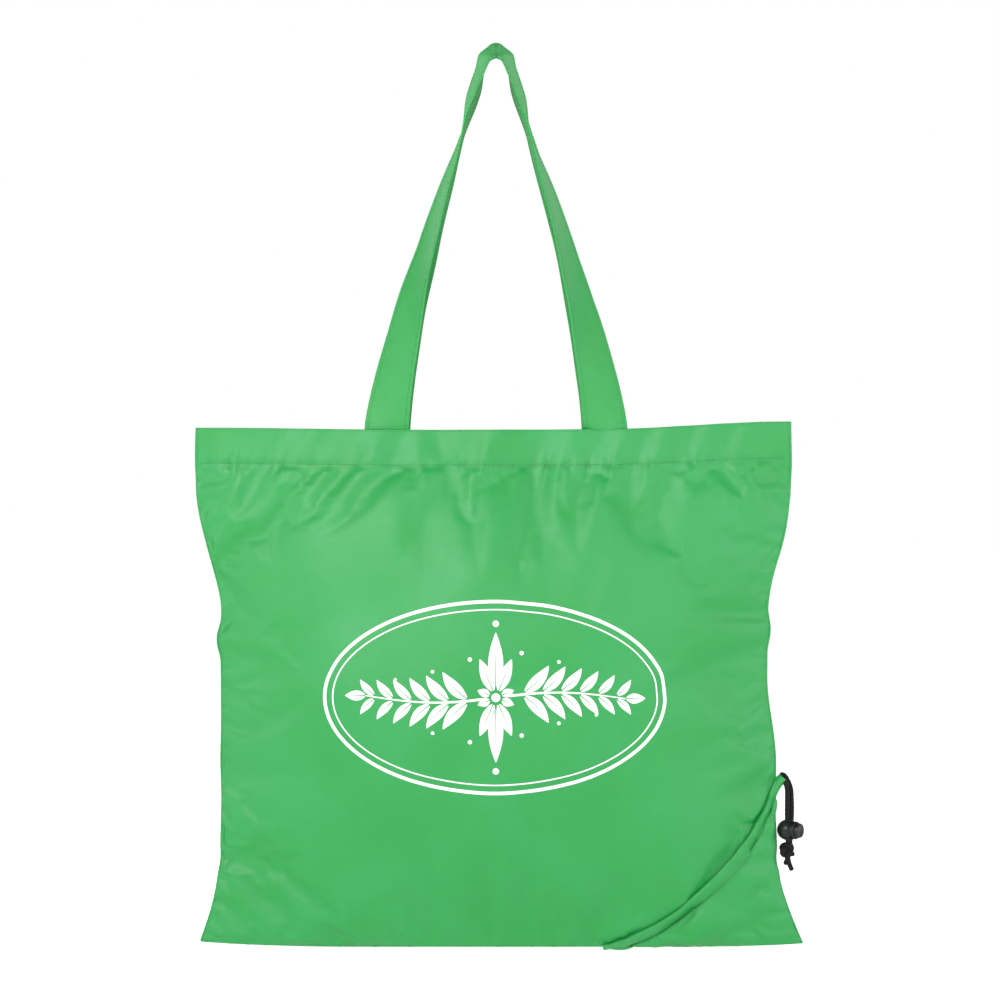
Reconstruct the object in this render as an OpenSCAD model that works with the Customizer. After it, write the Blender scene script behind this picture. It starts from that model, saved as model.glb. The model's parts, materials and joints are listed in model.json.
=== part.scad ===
// Foldable tote bag with two shoulder straps and a drawstring corner pouch.
// Millimetres. +Z is up, +X is the wearer's right seen from the front, the front faces -Y.
// The origin is the middle of the bottom seam.

/* [Bag] */
// Height from the bottom seam to the top of the hem
bag_height = 362; // [340:1:380]
// Half of the bag's width at mid height
mid_half_width = 192.5; // [185:0.5:200]
// How much each side widens towards the mouth
top_flare = 15; // [8:0.5:20]
// How much each bottom corner spreads out
bottom_flare = 18; // [8:0.5:22]
// Height above the bottom seam at which the corner spread starts
bottom_flare_height = 80; // [60:1:90]
// How far each panel bulges at mid height
puff_depth = 34; // [26:1:38]
// Half of the gap between the hems at the middle of the mouth
mouth_half_gap = 14; // [12:0.5:18]
// Thickness of one layer of fabric
fabric = 0.4; // [0.3:0.05:0.5]

/* [Hems and seams] */
// Depth of the hem round the mouth
hem_depth = 27; // [15:1:32]
// Width of the overlocked side and bottom seams
seam_width = 3; // [2:0.5:4]
// Thickness of the overlocked seams
seam_thickness = 1.4; // [1:0.1:1.8]
// Width of one line of stitching
thread_width = 0.8; // [0.6:0.1:1]

/* [Handles] */
// Width of each handle strap
strap_width = 31; // [28:0.5:34]
// Thickness of each handle strap
strap_thickness = 1; // [0.8:0.1:1.4]
// Distance from the middle of the bag to the middle of a strap's end
strap_spacing = 76; // [70:1:90]
// Height of the top of the handle loop above the hem
handle_rise = 267; // [240:1:280]
// Distance from a strap's edge to its line of stitching
strap_stitch_inset = 2.6; // [2:0.1:4]

/* [Corner pouch] */
// Radius of the pouch's curved mouth
pouch_radius = 203.5; // [200:0.5:206]
// Width of the casing the cord runs in
casing_width = 9.5; // [8.5:0.5:11]
// Depth of the casing, outside to inside
casing_depth = 4.6; // [4.2:0.1:5]
// Diameter of the cord
cord_d = 2.6; // [2:0.1:2.7]

/* [Cord lock] */
// Radius of the ball-shaped lock
lock_radius = 7.2; // [7:0.1:7.6]
// Radius of the push button
button_radius = 5.3; // [5:0.1:5.4]
// How far the button travels
button_travel = 2.4; // [1.5:0.1:2.4]
// Angle the lock is turned towards the front
lock_turn = 35; // [20:1:45]

/* [Hidden] */
fabric_green = "#50bb69";
strap_green = "#42af58";
thread_green = "#3aa254";
cord_black = "#1b1c1e";
lock_black = "#232426";
steel = "#a9adb2";

eps = 0.1;
half_seam = seam_thickness / 2;
fold_height = bag_height / 2;
fold_gap = 0.3;
hem_bottom = bag_height - hem_depth;
flare_start = bag_height * 0.62;
flare_end = bag_height * 0.925;

// The pouch mouth is an arc about this point.
pouch_center = [6, 194];
pouch_side_angle = -22.7;
pouch_bottom_angle = -65.9;

// The cord hangs from the casing's side end.
cord_exit = [201.2, 118];
strand_x = 205.2;
strand_gap = 1.45;
lock_z = 82;
lock_slot = 2;
knot_z = 67.6;

columns = 22;
lower_rows = 10;
upper_rows = 9;

// ---- shape of the filled bag ----

function clamp01(v) = min(1, max(0, v));

function smooth(from, to, v) =
    let (t = clamp01((v - from) / (to - from)))
    t * t * (3 - 2 * t);

// Half of the bag's width at height z, out to the edge of the seam.
function half_width(z) =
    mid_half_width
    + top_flare * smooth(flare_start, flare_end, z)
    + bottom_flare * pow(clamp01(1 - z / bottom_flare_height), 2);

// Half of the width of a panel, inside the seam.
function panel_half_width(z) = half_width(z) - seam_width;

// How far a panel stands out from the seam plane at the middle of the bag.
function puff(z) =
    let (t = clamp01((z - seam_width) / (bag_height - seam_width)))
    mouth_half_gap * smooth(0, 1, t)
    + puff_depth * pow(max(0, sin(180 * pow(t, 0.85))), 0.75 + 0.6 * t);

// The pillow's cross-section, 1 at the middle and 0 at the seams.
function section(u) = pow(max(0, 1 - u * u), 0.75);

// Distance of a panel's outer face from the seam plane.
function depth_at(x, z) =
    half_seam + puff(z) * section(min(1, abs(x) / panel_half_width(z)));

// A point on the front face at width fraction u and height z, pushed out by a distance.
function face_point(u, z, out) =
    [u * panel_half_width(z), -(half_seam + puff(z) * section(u) + out), z];

// ---- solids from grids and rings of points ----

function flat(lists) = [for (list = lists) each list];

// A closed solid between two grids of points; grid a is the outer face.
// Rows run upwards and columns run towards +X, seen from the front.
module shell(a, b) {
    rows = len(a);
    cols = len(a[0]);
    count = rows * cols;
    quads = [for (i = [0 : rows - 2]) for (j = [0 : cols - 2])
        [i * cols + j, (i + 1) * cols + j, (i + 1) * cols + j + 1, i * cols + j + 1]];
    rim = concat(
        [for (j = [0 : cols - 1]) j],
        [for (i = [1 : rows - 1]) i * cols + cols - 1],
        [for (j = [cols - 2 : -1 : 0]) (rows - 1) * cols + j],
        [for (i = [rows - 2 : -1 : 1]) i * cols]
    );
    edges = len(rim);
    faces = concat(
        [for (q = quads) each [[q[0], q[1], q[2]], [q[0], q[2], q[3]]]],
        [for (q = quads) each [
            [q[0] + count, q[2] + count, q[1] + count],
            [q[0] + count, q[3] + count, q[2] + count]
        ]],
        [for (k = [0 : edges - 1])
            let (p = rim[k], n = rim[(k + 1) % edges])
            each [[p, n, n + count], [p, n + count, p + count]]]
    );
    polyhedron(points = concat(flat(a), flat(b)), faces = faces);
}

// A closed solid through rings of points; each ring turns clockwise seen along the path.
module loft(rings) {
    sides = len(rings[0]);
    last = len(rings) - 1;
    walls = [for (i = [0 : last - 1]) for (k = [0 : sides - 1])
        let (n = (k + 1) % sides)
        each [
            [i * sides + k, (i + 1) * sides + k, (i + 1) * sides + n],
            [i * sides + k, (i + 1) * sides + n, i * sides + n]
        ]];
    faces = concat(
        walls,
        [[for (k = [0 : sides - 1]) k]],
        [[for (k = [sides - 1 : -1 : 0]) last * sides + k]]
    );
    polyhedron(points = flat(rings), faces = faces);
}

function unit(v) = v / norm(v);

function tangent(path, i) =
    unit(path[min(i + 1, len(path) - 1)] - path[max(i - 1, 0)]);

// A ring round a point of a path: an ellipse whose half axes lie along two vectors.
function ellipse_ring(center, along_a, along_b, sides) =
    [for (k = [0 : sides - 1])
        let (angle = 360 * k / sides)
        center + along_a * cos(angle) + along_b * sin(angle)];

// A round bar along a path; up is any direction the path never runs along.
module bar(path, diameter, up, sides = 8) {
    loft([for (i = [0 : len(path) - 1])
        let (
            t = tangent(path, i),
            a = unit(cross(up, t)),
            b = cross(t, a)
        )
        ellipse_ring(path[i], a * diameter / 2, b * diameter / 2, sides)]);
}

module both_sides() {
    children();
    mirror([1, 0, 0]) children();
}

module to_rear() {
    mirror([0, 1, 0]) children();
}

// ---- panels ----

function column_at(j) = sin(90 * (2 * j / columns - 1));

function face_grid(heights, out) =
    [for (z = heights) [for (j = [0 : columns]) face_point(column_at(j), z, out)]];

module front_skin(heights, out, thickness) {
    shell(face_grid(heights, out), face_grid(heights, out - thickness));
}

lower_heights = [for (i = [0 : lower_rows])
    seam_width + (fold_height - fold_gap - seam_width) * pow(i / lower_rows, 1.3)];

upper_heights = [for (i = [0 : upper_rows])
    fold_height + fold_gap + (hem_bottom - eps - fold_height - fold_gap) * i / upper_rows];

module lower_skin() {
    front_skin(lower_heights, 0, fabric);
}

module upper_skin() {
    front_skin(upper_heights, 0, fabric);
}

module front_panel_upper() {
    color(fabric_green) upper_skin();
}

module rear_panel_upper() {
    color(fabric_green) to_rear() upper_skin();
}

module front_panel_lower() {
    color(fabric_green) lower_skin();
}

module rear_panel_lower() {
    color(fabric_green) to_rear() lower_skin();
}

// ---- hems ----

hem_heights = [for (i = [0 : 2]) hem_bottom + hem_depth * i / 2];

module hem() {
    front_skin(hem_heights, fabric, fabric * 2);
}

module hem_thread() {
    base = hem_bottom + 2.4;
    front_skin([base, base + thread_width], fabric + 0.45, 0.25);
}

module front_hem() {
    color(fabric_green) hem();
}

module rear_hem() {
    color(fabric_green) to_rear() hem();
}

module front_hem_stitching() {
    color(thread_green) hem_thread();
}

module rear_hem_stitching() {
    color(thread_green) to_rear() hem_thread();
}

// ---- seams ----

// The seam strip down the right side, through the heights the panels are drawn at.
module side_strip(heights) {
    loft([for (z = heights)
        let (inner = panel_half_width(z) + eps, outer = half_width(z))
        [
            [inner, -half_seam, z],
            [inner, half_seam, z],
            [outer, half_seam * 0.6, z],
            [outer, -half_seam * 0.6, z]
        ]]);
}

module side_seams_upper() {
    color(fabric_green) both_sides()
        side_strip(concat(upper_heights, hem_heights));
}

module side_seams_lower() {
    color(fabric_green) both_sides()
        side_strip(lower_heights);
}

module bottom_seam() {
    reach = half_width(0);
    color(fabric_green)
        translate([-reach, -half_seam, 0])
        cube([2 * reach, seam_thickness, seam_width - eps]);
}

// ---- handles ----

handle_base = bag_height + 2.6;
handle_top = bag_height + handle_rise;
handle_shoulder = handle_top - 8;
strap_plane = half_seam + mouth_half_gap * 0.86 - 1.9;
branch_steps = 20;
crown_steps = 6;

// The left half of a handle's middle line, from the hem to the crown.
function branch_point(i) =
    let (
        s = i / branch_steps,
        z = handle_base + (handle_shoulder - handle_base) * s,
        rise = (z - bag_height) / (0.783 * handle_rise),
        x = rise <= 1
            ? -strap_spacing * (1 - 0.691 * pow(max(0, rise), 1.4))
            : -strap_spacing * (0.309 - 0.18 * (rise - 1) / 0.238)
    )
    [x, strap_y(z), z];

// A strap stands far enough forward for its rear edge to stay on its own side of the bag.
function strap_y(z) =
    -pow(pow(strap_plane, 4) + pow(strap_width / 2 * sin(strap_turn(z)), 4), 0.25);

function crown_point(i) =
    let (a = 90 * i / crown_steps, from = branch_point(branch_steps))
    [from[0] * cos(a), from[1], handle_shoulder + 8 * sin(a)];

left_line = concat(
    [for (i = [0 : branch_steps]) branch_point(i)],
    [for (i = [1 : crown_steps]) crown_point(i)]
);

handle_line = concat(
    left_line,
    [for (i = [len(left_line) - 2 : -1 : 0])
        [-left_line[i][0], left_line[i][1], left_line[i][2]]]
);

// The strap starts flat to the front and turns nearly edge-on towards the top.
function strap_turn(z) =
    let (s = clamp01((z - handle_base) / (0.783 * handle_rise)))
    86 * pow(s, 0.6) - 12 * smooth(0.8 * handle_rise, 0.95 * handle_rise, z - bag_height);

function strap_frame(i) =
    let (
        p = handle_line[i],
        t = tangent(handle_line, i),
        inward = unit(cross([0, 1, 0], t)),
        turn = strap_turn(p[2]),
        across = unit(inward * cos(turn) + [0, -1, 0] * sin(turn)),
        face = unit(cross(t, across))
    )
    [p, across, face];

// A band that follows the handle, through columns across it, between two offsets off its face.
module band(columns_across, near, far) {
    loft([for (i = [0 : len(handle_line) - 1])
        let (f = strap_frame(i))
        concat(
            [for (c = columns_across) f[0] + f[1] * c + f[2] * far],
            [for (k = [len(columns_across) - 1 : -1 : 0])
                f[0] + f[1] * columns_across[k] + f[2] * near]
        )]);
}

stitch_line = strap_width / 2 - strap_stitch_inset;
stitch_edges = [stitch_line - thread_width / 2, stitch_line + thread_width / 2];

module handle_strap() {
    band(
        [
            -strap_width / 2,
            -stitch_edges[1],
            -stitch_edges[0],
            0,
            stitch_edges[0],
            stitch_edges[1],
            strap_width / 2
        ],
        -strap_thickness / 2,
        strap_thickness / 2
    );
}

module handle_threads() {
    near = strap_thickness / 2 + 0.15;
    band([-stitch_edges[1], -stitch_edges[0]], near, near + 0.25);
    band([stitch_edges[0], stitch_edges[1]], near, near + 0.25);
}

// The straps' ends, sewn inside the hem.
module strap_ends() {
    both_sides()
        translate([strap_spacing - strap_width / 2, -strap_plane - strap_thickness / 2, hem_bottom])
        cube([strap_width, strap_thickness, hem_depth]);
}

module front_handle_ends() {
    color(strap_green) strap_ends();
}

module rear_handle_ends() {
    color(strap_green) to_rear() strap_ends();
}

module front_handle() {
    color(strap_green) handle_strap();
}

module rear_handle() {
    color(strap_green) to_rear() handle_strap();
}

module front_handle_stitching() {
    color(thread_green) handle_threads();
}

module rear_handle_stitching() {
    color(thread_green) to_rear() handle_threads();
}

// ---- corner pouch ----

pouch_lift = 1.6;

// The casing narrows towards the side of the bag.
function casing_width_at(v) = casing_width * (0.62 + 0.38 * smooth(0, 0.3, v));

function casing_mid_radius(v) = pouch_radius + casing_width_at(v) / 2;

function casing_low_radius(v) = pouch_radius + casing_width_at(v);

function arc_point(radius, v) =
    let (angle = pouch_side_angle + (pouch_bottom_angle - pouch_side_angle) * v)
    [pouch_center[0] + radius * cos(angle), pouch_center[1] + radius * sin(angle)];

// The outline of the corner, from the pouch's side end down and along the bottom.
function corner_point(v) =
    let (
        start = arc_point(casing_low_radius(0), 0),
        end = arc_point(casing_low_radius(1), 1),
        side = clamp01(v * 2),
        along = clamp01(v * 2 - 1),
        z = start[1] + (seam_width - start[1]) * side
    )
    v < 0.5
        ? [panel_half_width(z) - 0.2, z]
        : [panel_half_width(seam_width) - 0.2
            + (end[0] + 0.2 - panel_half_width(seam_width)) * along, seam_width];

function pouch_point(v, w, out) =
    let (
        p = arc_point(casing_low_radius(v) + 0.4, v) * (1 - w) + corner_point(v) * w,
        x = min(p[0], panel_half_width(max(p[1], seam_width)) - 0.2),
        z = max(p[1], seam_width)
    )
    [x, -(depth_at(x, z) + out), z];

pouch_v = [for (i = [0 : 14]) 0.04 + 0.92 * i / 14];
pouch_w = [for (i = [0 : 8]) i / 8];

// Depth of the pouch's own bulge off the panel behind it.
function pouch_out(w) = pouch_lift + 3 * sin(180 * w);

module pouch_skin() {
    shell(
        [for (w = pouch_w) [for (v = pouch_v) pouch_point(1 - v, 1 - w, pouch_out(w))]],
        [for (w = pouch_w) [for (v = pouch_v) pouch_point(1 - v, 1 - w, pouch_out(w) - fabric)]]
    );
}

module pouch_front() {
    color(fabric_green) pouch_skin();
}

module pouch_rear() {
    color(fabric_green) to_rear() pouch_skin();
}

casing_v = [for (i = [0 : 14]) 0.075 + 0.875 * i / 14];

function on_panel(p, out) = [p[0], -(depth_at(p[0], p[1]) + out), p[1]];

casing_line = [for (v = casing_v)
    on_panel(arc_point(casing_mid_radius(v), v), casing_depth / 2 + 0.7)];

// One ring of the casing, flattened against the panel, inside its outer wall by an inset.
function casing_ring(i, inset) =
    let (
        v = casing_v[i],
        outward = arc_point(casing_mid_radius(v) + 1, v),
        inward = arc_point(casing_mid_radius(v) - 1, v),
        across = unit(on_panel(outward, 0) - on_panel(inward, 0)),
        face = unit(cross(tangent(casing_line, i), across))
    )
    ellipse_ring(
        casing_line[i],
        across * (casing_width_at(v) / 2 - inset),
        face * (casing_depth / 2 - inset),
        12
    );

module casing_sleeve() {
    count = len(casing_line);
    difference() {
        loft([for (i = [0 : count - 1]) casing_ring(i, 0)]);
        loft([for (i = [0 : count - 1])
            let (
                end = i == 0 ? -1 : i == count - 1 ? 1 : 0,
                push = tangent(casing_line, i) * end
            )
            [for (p = casing_ring(i, 0.5)) p + push]]);
    }
}

module pouch_casing_front() {
    color(fabric_green) casing_sleeve();
}

module pouch_casing_rear() {
    color(fabric_green) to_rear() casing_sleeve();
}

casing_thread_v = [for (i = [0 : 14]) 0.16 + 0.76 * i / 14];

function thread_point(v, below, out) =
    on_panel(arc_point(casing_low_radius(v) + below, v), out);

// A line of stitching just below the casing, where it is sewn to the pouch.
module casing_thread() {
    rows = [0, thread_width];
    shell(
        [for (r = rows) [for (v = casing_thread_v) thread_point(1 - v, 1.6 - r, 3.9)]],
        [for (r = rows) [for (v = casing_thread_v) thread_point(1 - v, 1.6 - r, 3.65)]]
    );
}

module casing_stitching() {
    color(thread_green) {
        casing_thread();
        to_rear() casing_thread();
    }
}

// The folded cuff at the side end of the casing: the cord comes up into it and out past the side.
module casing_end_tab() {
    color(fabric_green)
        translate([half_width(cord_exit[1]) + 0.1, 0, cord_exit[1]])
        difference() {
            translate([0, -5.4, -4.4]) cube([6.4, 10.8, 8.8]);
            translate([-1, -4.8, -5.4]) cube([8.4, 9.6, 9]);
        }
}

// The small loop of tape that closes the casing's bottom end.
module casing_bottom_tab() {
    end = arc_point(casing_mid_radius(1), 1);
    color(fabric_green)
        translate([end[0] - 10.5, 0, -2.1])
        difference() {
            translate([0, -3.6, 0]) cube([21, 7.2, 4.9]);
            translate([-1, -2.9, 0.7]) cube([23, 5.8, 5.8]);
        }
}

// ---- cord ----

casing_cord_line = concat(
    [
        [cord_exit[0] - 0.4, -2.3, cord_exit[1]],
        [cord_exit[0] - 3.7, -2.7, cord_exit[1] - 0.6],
        [cord_exit[0] - 7, -3.1, cord_exit[1] - 5.4]
    ],
    [for (i = [0 : len(casing_line) - 2]) casing_line[i]]
);

module casing_cord() {
    bar(casing_cord_line, cord_d, [0, 1, 0]);
}

module pouch_cord() {
    color(cord_black) {
        casing_cord();
        to_rear() casing_cord();
    }
}

// One strand from the casing's mouth, over and down through the lock to its tail.
module strand(side, low_end) {
    across = [sin(lock_turn), cos(lock_turn)] * strand_gap * side;
    start_x = cord_exit[0] + 1.4;
    bend = [for (i = [0 : 7])
        let (a = 90 * i / 7, lean = smooth(0, 7, i))
        [
            start_x + (strand_x + across[0] - start_x) * sin(a),
            side * 2.3 * (1 - lean) + across[1] * lean,
            104 + (cord_exit[1] - 104) * cos(a)
        ]];
    path = concat(bend, [[strand_x + across[0], across[1], low_end]]);
    bar(path, cord_d, [0, 1, 0], 12);
}

module cord_strands() {
    color(cord_black) {
        strand(-1, 55);
        strand(1, 58);
    }
}

// An overhand knot: a trefoil turn of cord round the strands.
module cord_knot() {
    loop = 3.5;
    weave = 1.9;
    steps = 60;
    color(cord_black)
        translate([strand_x, 0, knot_z])
        rotate([90, 0, 0])
        bar(
            [for (i = [0 : steps])
                let (a = 350 * i / steps, r = loop + weave * cos(3 * a))
                [r * cos(2 * a), r * sin(2 * a), weave * sin(3 * a)]],
            cord_d - 0.4,
            [0.02, 0.03, 1],
            8
        );
}

// ---- cord lock ----

bore_start = -3.6;
bore_radius = button_radius + 0.05;
neck_radius = 6.3;
neck_end = 7.8;
pocket_radius = 2.6;
pocket_start = -6.1;
slot_half_length = cord_d / 2 + 0.3;
slot_half_width = strand_gap + cord_d / 2 + 0.25;
button_start = -1;
button_end = 11;

// Places a shape made along +Z on the lock's axis.
module on_lock_axis() {
    across = [cos(lock_turn), -sin(lock_turn)] * lock_slot;
    translate([strand_x - across[0], -across[1], lock_z])
        rotate([0, 90, -lock_turn])
        children();
}

module cord_lock_body() {
    color(lock_black) on_lock_axis()
        difference() {
            union() {
                sphere(r = lock_radius, $fn = 64);
                cylinder(r = neck_radius, h = neck_end, $fn = 64);
            }
            translate([0, 0, bore_start])
                cylinder(r = bore_radius, h = neck_end - bore_start + 1, $fn = 64);
            translate([0, 0, pocket_start])
                cylinder(r = pocket_radius, h = bore_start - pocket_start + 1, $fn = 48);
            translate([-10, -slot_half_width, lock_slot - slot_half_length])
                cube([20, 2 * slot_half_width, 2 * slot_half_length]);
        }
}

module cord_lock_button() {
    color(lock_black) on_lock_axis()
        difference() {
            union() {
                translate([0, 0, button_start])
                    cylinder(r = button_radius, h = button_end - button_start - 0.6, $fn = 64);
                translate([0, 0, button_end - 0.6])
                    cylinder(r1 = button_radius, r2 = button_radius - 0.6, h = 0.6, $fn = 64);
                translate([0, 0, button_start - 2])
                    cylinder(r = 0.9, h = 2.5, $fn = 32);
            }
            translate([-10, -slot_half_width, lock_slot - slot_half_length])
                cube([20, 2 * slot_half_width, 2 * slot_half_length + button_travel]);
        }
}

// The spring behind the button, drawn at its pressed length.
module cord_lock_spring() {
    turns = 3;
    steps = 14;
    wire = 0.5;
    low = pocket_start + 0.35;
    high = button_start - button_travel - 0.4;
    color(steel) on_lock_axis()
        bar(
            [for (i = [0 : turns * steps])
                let (a = 360 * i / steps, f = i / (turns * steps))
                [1.75 * cos(a), 1.75 * sin(a), low + (high - low) * f]],
            wire,
            [0, 0, 1],
            6
        );
}

front_panel_upper();
rear_panel_upper();
front_panel_lower();
rear_panel_lower();
front_hem();
rear_hem();
front_hem_stitching();
rear_hem_stitching();
side_seams_upper();
side_seams_lower();
bottom_seam();
front_handle_ends();
rear_handle_ends();
front_handle();
rear_handle();
front_handle_stitching();
rear_handle_stitching();
pouch_front();
pouch_rear();
pouch_casing_front();
pouch_casing_rear();
casing_stitching();
casing_end_tab();
casing_bottom_tab();
pouch_cord();
cord_strands();
cord_knot();
cord_lock_body();
cord_lock_button();
cord_lock_spring();
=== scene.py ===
"""Foldable tote bag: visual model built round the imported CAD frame. Metres, +Z up, the front faces -Y."""
import json
import math

import bpy
import numpy as np
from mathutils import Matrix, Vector

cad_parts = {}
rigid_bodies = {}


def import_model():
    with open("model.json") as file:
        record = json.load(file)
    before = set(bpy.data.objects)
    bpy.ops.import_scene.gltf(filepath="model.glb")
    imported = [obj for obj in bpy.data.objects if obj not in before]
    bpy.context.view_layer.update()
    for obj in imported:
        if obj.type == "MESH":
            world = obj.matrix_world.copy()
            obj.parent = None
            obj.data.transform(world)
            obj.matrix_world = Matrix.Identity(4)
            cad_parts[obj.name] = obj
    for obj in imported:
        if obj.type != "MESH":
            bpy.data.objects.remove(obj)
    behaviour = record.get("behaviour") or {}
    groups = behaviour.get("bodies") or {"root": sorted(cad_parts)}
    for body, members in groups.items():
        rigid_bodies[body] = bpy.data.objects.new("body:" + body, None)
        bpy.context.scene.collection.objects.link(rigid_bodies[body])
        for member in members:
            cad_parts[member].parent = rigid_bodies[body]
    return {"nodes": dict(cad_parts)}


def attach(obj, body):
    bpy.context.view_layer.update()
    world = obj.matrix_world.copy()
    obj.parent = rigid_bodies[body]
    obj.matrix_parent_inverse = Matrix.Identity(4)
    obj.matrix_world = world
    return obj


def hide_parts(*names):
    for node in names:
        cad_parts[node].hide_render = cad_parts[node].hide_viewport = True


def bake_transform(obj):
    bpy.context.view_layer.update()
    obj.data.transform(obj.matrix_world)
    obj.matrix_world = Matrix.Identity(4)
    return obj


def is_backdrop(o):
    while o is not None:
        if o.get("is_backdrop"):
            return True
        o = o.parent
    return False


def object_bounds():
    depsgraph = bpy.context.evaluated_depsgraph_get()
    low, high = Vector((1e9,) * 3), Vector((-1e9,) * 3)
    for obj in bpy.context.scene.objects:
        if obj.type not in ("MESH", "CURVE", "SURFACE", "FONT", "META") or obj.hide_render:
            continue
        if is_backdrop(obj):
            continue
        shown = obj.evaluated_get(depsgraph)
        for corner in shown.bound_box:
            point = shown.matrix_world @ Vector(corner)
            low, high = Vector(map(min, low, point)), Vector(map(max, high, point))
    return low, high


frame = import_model()
CAD_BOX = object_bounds()
MM = 0.001

# ---- sizes, in metres, as the CAD has them
HEIGHT = 362 * MM
HEM_DEPTH = 27 * MM
HEM_LINE = HEIGHT - HEM_DEPTH
STITCH_LINE = HEM_LINE + 2.6 * MM
PUFF = 34 * MM
MOUTH_GAP = 14 * MM
FOLD_Z = 181 * MM
FOLD_SPAN = 52 * MM
FABRIC = 0.4 * MM
STRAP_WIDTH = 31 * MM
STRAP_X = 76 * MM
POUCH_CENTER = (6 * MM, 194 * MM)
POUCH_RADIUS = 203.5 * MM
CASING_WIDTH = 9.5 * MM
POUCH_ANGLES = (-22.7, -65.9)
CORD_R = 1.72 * MM
LOCK_TURN = math.radians(35)
LOCK_Z = 82 * MM
STRAND_X = 205.2 * MM


# ---- small maths
def smooth(a, b, v):
    t = np.clip((np.asarray(v, float) - a) / (b - a), 0, 1)
    return t * t * (3 - 2 * t)


def bump(center, half, v):
    """1 at center, falling smoothly to 0 at half away from it."""
    d = np.clip(np.abs(np.asarray(v, float) - center) / half, 0, 1)
    return (1 - d * d) ** 2


def bell(v, width):
    """1 where v is 0, falling off like a bell over the width."""
    return np.exp(-((v / width) ** 2))


def unit(v):
    v = np.asarray(v, float)
    n = np.linalg.norm(v, axis=-1, keepdims=True)
    return v / np.maximum(n, 1e-12)


def round_angles(count):
    """Angles evenly round a circle."""
    return np.linspace(0, 2 * math.pi, count, endpoint=False)


def run_along(path):
    """Distance along a path from its start to each of its points."""
    return np.concatenate([[0], np.cumsum(np.linalg.norm(np.diff(path, axis=0), axis=1))])


def sampled(path, run, at):
    """Points of a path at given distances, where run says how far along each of its points lies."""
    return np.stack([np.interp(at, run, path[:, i]) for i in range(3)], -1)


def relaxed(path, passes):
    """The path with its corners eased, its ends kept."""
    path = path.copy()
    for _ in range(passes):
        path[1:-1] = 0.25 * path[:-2] + 0.5 * path[1:-1] + 0.25 * path[2:]
    return path


def hoops(a, b, angle, flat=1.0):
    """Unit circles, one for each pair of square directions a and b, pressed flat along b."""
    return a[:, None] * np.cos(angle)[None, :, None] + b[:, None] * np.sin(angle)[None, :, None] * flat


class Waves:
    """Smooth repeatable noise: a sum of sine waves in random directions."""

    def __init__(self, seed, dims, low, high, count=14):
        r = np.random.default_rng(seed)
        length = np.exp(r.uniform(np.log(low), np.log(high), count))
        turn = r.normal(size=(count, dims))
        self.k = unit(turn) * (2 * math.pi / length)[:, None]
        self.phase = r.uniform(0, 2 * math.pi, count)
        self.gain = (length / length.max()) ** 0.6
        self.gain /= np.sqrt((self.gain**2).sum() / 2)

    def __call__(self, *coords):
        total = 0
        for k, phase, gain in zip(self.k, self.phase, self.gain):
            total = total + gain * np.sin(sum(ki * c for ki, c in zip(k, coords)) + phase)
        return total


# ---- the filled bag's shape
def edge_at(z, base, flare, bulges):
    """A side's distance from the middle: a flare at the foot, then steps and bumps up the side, in mm."""
    z = np.asarray(z, float) / MM
    edge = base(z) + flare * np.clip(1 - z / 80, 0, 1) ** 2
    for height, at, half in bulges:
        edge = edge + height * bump(at, half, z)
    return edge * MM


def right_edge(z):
    return edge_at(
        z, lambda v: 195.3 - 6 * smooth(128, 190, v) + 16.6 * smooth(226, 318, v), 19, ((2.2, 221, 16), (-0.9, 60, 10))
    )


def left_edge(z):
    return edge_at(z, lambda v: 192 + 17.5 * smooth(232, 322, v), 14.5, ((2.6, 215, 15), (-0.8, 60, 12)))


def edge_x(u, z):
    return np.where(np.asarray(u) >= 0, right_edge(z), left_edge(z))


def puff_at(z):
    t = np.clip((z - 1.5 * MM) / (HEIGHT - 1.5 * MM), 0, 1)
    rise = np.sin(np.pi * t**0.85).clip(0) ** (0.75 + 0.6 * t)
    return MOUTH_GAP * smooth(0, 1, t) + PUFF * rise


def section(u):
    return np.clip(1 - u * u, 0, 1) ** 0.75


def rise_at(u, z):
    """How far the hem's and the bottom's outlines stand off their straight lines."""
    t = z / HEIGHT
    top = 5.6 * smooth(0.35, 1.0, u) + 1.2 * smooth(0.4, 1.0, -u) - 0.5 * bump(-0.1, 0.6, u)
    bottom = 2.4 * np.abs(u).clip(0, 1) ** 7 + 1.2 * smooth(0.5, 1.0, -u) + 0.3
    return (top * t**3 + bottom * (1 - t) ** 3) * MM


FOLDS = Waves(11, 2, 55 * MM, 130 * MM, 10)
DRAPE = Waves(12, 1, 26 * MM, 70 * MM, 8)
GATHER = Waves(13, 1, 5.5 * MM, 15 * MM, 16)
EDGE_GATHER = Waves(14, 1, 30 * MM, 80 * MM, 8)
HEM_FOLDS = Waves(15, 1, 24 * MM, 75 * MM, 9)
CREASE_AT = (169 * MM, 89 * MM)


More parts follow.
